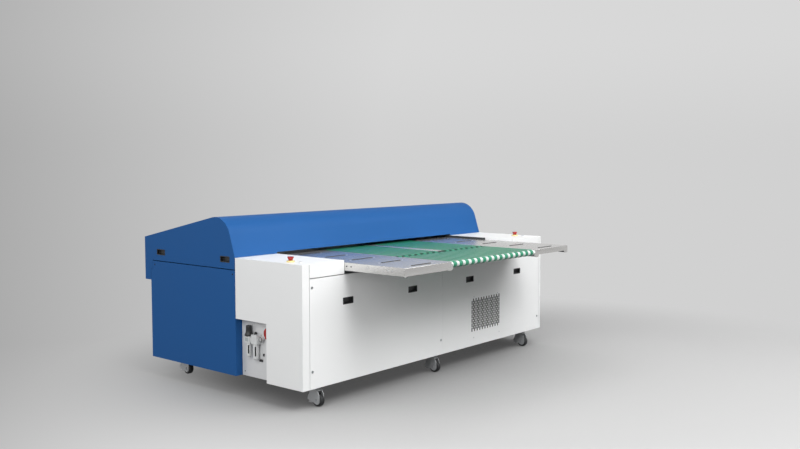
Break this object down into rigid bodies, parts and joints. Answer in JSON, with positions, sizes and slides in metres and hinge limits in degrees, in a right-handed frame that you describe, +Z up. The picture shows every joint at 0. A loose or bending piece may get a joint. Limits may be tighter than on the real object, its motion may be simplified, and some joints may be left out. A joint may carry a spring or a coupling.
{
  "type": "flatbed uv printer",
  "caption": "Belt-fed flatbed printer with UV lamps: a hooded gantry over a steel cabinet on levelling swivel casters, with a table that stands out in front.",
  "frame": {"origin": "on the floor under the middle of the whole machine's plan", "axes": "+Z up, +X along the machine to the right seen from the feed side, +Y from the feed table to the rear"},
  "size_m": [2.663, 2.055, 1.1293],
  "materials": {
    "white_paint": "satin",
    "blue_paint": "satin",
    "frame_grey": "satin",
    "grey_panel": "satin",
    "dark_paint": "matte",
    "zinc": "bright zinc",
    "cast_grey": "satin cast",
    "bowl_guard": "satin",
    "steel_plate": "fine brushed",
    "aluminium": "satin",
    "rail_steel": "ground",
    "belt_green": "satin",
    "roller_white": "satin",
    "black_plastic": "fine grain",
    "ink_plastic": "satin",
    "red_plastic": "gloss",
    "yellow_plastic": "gloss",
    "button_grey": "gloss",
    "tyre": "matte"
  },
  "bodies": {
    "root": {"base_frame": "frame_grey", "base_floor": "frame_grey", "caster_plates": "zinc", "left_side_panel": "white_paint", "right_side_panel": "white_paint", "left_end_cover": "white_paint", "right_end_cover": "white_paint", "lower_side_panels": "blue_paint", "rear_panels": "blue_paint", "rear_rail": "blue_paint", "utility_panel": "grey_panel", "air_filter": "cast_grey", "air_filter_bowls": "bowl_guard", "table_plates": "steel_plate", "center_strip": "steel_plate", "side_fence": "steel_plate", "front_bed": "aluminium", "rear_bed": "aluminium", "gantry": "aluminium", "front_belts": "belt_green", "rear_belts": "belt_green", "linear_rails": "rail_steel", "estop_bases": "yellow_plastic", "capping_station": "black_plastic", "control_box": "grey_panel", "ink_tanks": "ink_plastic", "vacuum_blower": "cast_grey"},
    "carriage": {"carriage": "dark_paint", "uv_lamps": "dark_paint"},
    "heads": {"head_plate": "aluminium", "print_heads": "black_plastic"},
    "hood": {"hood": "blue_paint", "hood_handles": "black_plastic"},
    "front_panel_left": {"front_panel_left": "white_paint", "front_handles_left": "black_plastic"},
    "front_panel_right": {"front_panel_right": "white_paint", "vent_grille": "white_paint", "front_handles_right": "black_plastic"},
    "front_roller": {"front_roller": "roller_white"},
    "front_tail_roller": {"front_tail_roller": "roller_white"},
    "rear_head_roller": {"rear_head_roller": "roller_white"},
    "rear_tail_roller": {"rear_tail_roller": "roller_white"},
    "regulator_knob": {"regulator_knob": "black_plastic"},
    "main_switch": {"main_switch": "red_plastic"},
    "estop_left": {"estop_left": "red_plastic"},
    "estop_right": {"estop_right": "red_plastic"},
    "button_left": {"button_left": "button_grey"},
    "button_right": {"button_right": "button_grey"},
    "caster_fork_1": {"caster_fork_1": "zinc"},
    "caster_wheel_1": {"caster_wheel_1": "tyre"},
    "caster_fork_2": {"caster_fork_2": "zinc"},
    "caster_wheel_2": {"caster_wheel_2": "tyre"},
    "caster_fork_3": {"caster_fork_3": "zinc"},
    "caster_wheel_3": {"caster_wheel_3": "tyre"},
    "caster_fork_4": {"caster_fork_4": "zinc"},
    "caster_wheel_4": {"caster_wheel_4": "tyre"},
    "caster_fork_5": {"caster_fork_5": "zinc"},
    "caster_wheel_5": {"caster_wheel_5": "tyre"},
    "caster_fork_6": {"caster_fork_6": "zinc"},
    "caster_wheel_6": {"caster_wheel_6": "tyre"}
  },
  "joints": [
    {"name": "carriage_travel", "type": "slide", "parent": "root", "child": "carriage", "axis": [1, 0, 0], "range_m": [-2.244, 0]},
    {"name": "head_lift", "type": "slide", "parent": "carriage", "child": "heads", "axis": [0, 0, 1], "range_m": [0, 0.05]},
    {"name": "hood_lift_off", "type": "slide", "parent": "root", "child": "hood", "axis": [0, 0, 1], "range_m": [0, 0.4]},
    {"name": "front_panel_left_pull_off", "type": "slide", "parent": "root", "child": "front_panel_left", "axis": [0, -1, 0], "range_m": [0, 0.25]},
    {"name": "front_panel_right_pull_off", "type": "slide", "parent": "root", "child": "front_panel_right", "axis": [0, -1, 0], "range_m": [0, 0.25]},
    {"name": "front_roller_spin", "type": "hinge", "parent": "root", "child": "front_roller", "pos_m": [-0.03, -1.005, 0.8455], "axis": [1, 0, 0], "continuous": true},
    {"name": "front_tail_roller_spin", "type": "hinge", "parent": "root", "child": "front_tail_roller", "pos_m": [-0.03, -0.6165, 0.8455], "axis": [1, 0, 0], "continuous": true},
    {"name": "rear_head_roller_spin", "type": "hinge", "parent": "root", "child": "rear_head_roller", "pos_m": [-0.03, -0.5685, 0.8455], "axis": [1, 0, 0], "continuous": true},
    {"name": "rear_tail_roller_spin", "type": "hinge", "parent": "root", "child": "rear_tail_roller", "pos_m": [-0.03, 0.9025, 0.8455], "axis": [1, 0, 0], "continuous": true},
    {"name": "regulator_turn", "type": "hinge", "parent": "root", "child": "regulator_knob", "pos_m": [-1.303, -0.0355, 0.397], "axis": [0, 0, 1], "range_deg": [-720, 720]},
    {"name": "main_switch_turn", "type": "hinge", "parent": "root", "child": "main_switch", "pos_m": [-1.29, -0.1915, 0.425], "axis": [1, 0, 0], "range_deg": [0, 90]},
    {"name": "estop_left_press", "type": "slide", "parent": "root", "child": "estop_left", "axis": [0, 0, 1], "range_m": [-0.004, 0], "stiffness_N_per_m": 800, "springref_m": 0.004},
    {"name": "estop_right_press", "type": "slide", "parent": "root", "child": "estop_right", "axis": [0, 0, 1], "range_m": [-0.004, 0], "stiffness_N_per_m": 800, "springref_m": 0.004},
    {"name": "button_left_press", "type": "slide", "parent": "root", "child": "button_left", "axis": [0, 0, 1], "range_m": [-0.002, 0], "stiffness_N_per_m": 600, "springref_m": 0.003},
    {"name": "button_right_press", "type": "slide", "parent": "root", "child": "button_right", "axis": [0, 0, 1], "range_m": [-0.002, 0], "stiffness_N_per_m": 600, "springref_m": 0.003},
    {"name": "caster_1_swivel", "type": "hinge", "parent": "root", "child": "caster_fork_1", "pos_m": [-1.152, -0.4495, 0.11], "axis": [0, 0, 1], "continuous": true},
    {"name": "caster_1_roll", "type": "hinge", "parent": "caster_fork_1", "child": "caster_wheel_1", "pos_m": [-1.152, -0.4955, 0.039], "axis": [1, 0, 0], "continuous": true},
    {"name": "caster_2_swivel", "type": "hinge", "parent": "root", "child": "caster_fork_2", "pos_m": [0, -0.4495, 0.11], "axis": [0, 0, 1], "continuous": true},
    {"name": "caster_2_roll", "type": "hinge", "parent": "caster_fork_2", "child": "caster_wheel_2", "pos_m": [0, -0.4955, 0.039], "axis": [1, 0, 0], "continuous": true},
    {"name": "caster_3_swivel", "type": "hinge", "parent": "root", "child": "caster_fork_3", "pos_m": [1.152, -0.4495, 0.11], "axis": [0, 0, 1], "continuous": true},
    {"name": "caster_3_roll", "type": "hinge", "parent": "caster_fork_3", "child": "caster_wheel_3", "pos_m": [1.152, -0.4955, 0.039], "axis": [1, 0, 0], "continuous": true},
    {"name": "caster_4_swivel", "type": "hinge", "parent": "root", "child": "caster_fork_4", "pos_m": [-1.152, 0.8405, 0.11], "axis": [0, 0, 1], "continuous": true},
    {"name": "caster_4_roll", "type": "hinge", "parent": "caster_fork_4", "child": "caster_wheel_4", "pos_m": [-1.152, 0.7945, 0.039], "axis": [1, 0, 0], "continuous": true},
    {"name": "caster_5_swivel", "type": "hinge", "parent": "root", "child": "caster_fork_5", "pos_m": [0, 0.8405, 0.11], "axis": [0, 0, 1], "continuous": true},
    {"name": "caster_5_roll", "type": "hinge", "parent": "caster_fork_5", "child": "caster_wheel_5", "pos_m": [0, 0.7945, 0.039], "axis": [1, 0, 0], "continuous": true},
    {"name": "caster_6_swivel", "type": "hinge", "parent": "root", "child": "caster_fork_6", "pos_m": [1.152, 0.8405, 0.11], "axis": [0, 0, 1], "continuous": true},
    {"name": "caster_6_roll", "type": "hinge", "parent": "caster_fork_6", "child": "caster_wheel_6", "pos_m": [1.152, 0.7945, 0.039], "axis": [1, 0, 0], "continuous": true}
  ],
  "couplings": [
    {"joint": "front_tail_roller_spin", "follows": "front_roller_spin", "ratio": 1},
    {"joint": "rear_head_roller_spin", "follows": "front_roller_spin", "ratio": 1},
    {"joint": "rear_tail_roller_spin", "follows": "front_roller_spin", "ratio": 1}
  ]
}
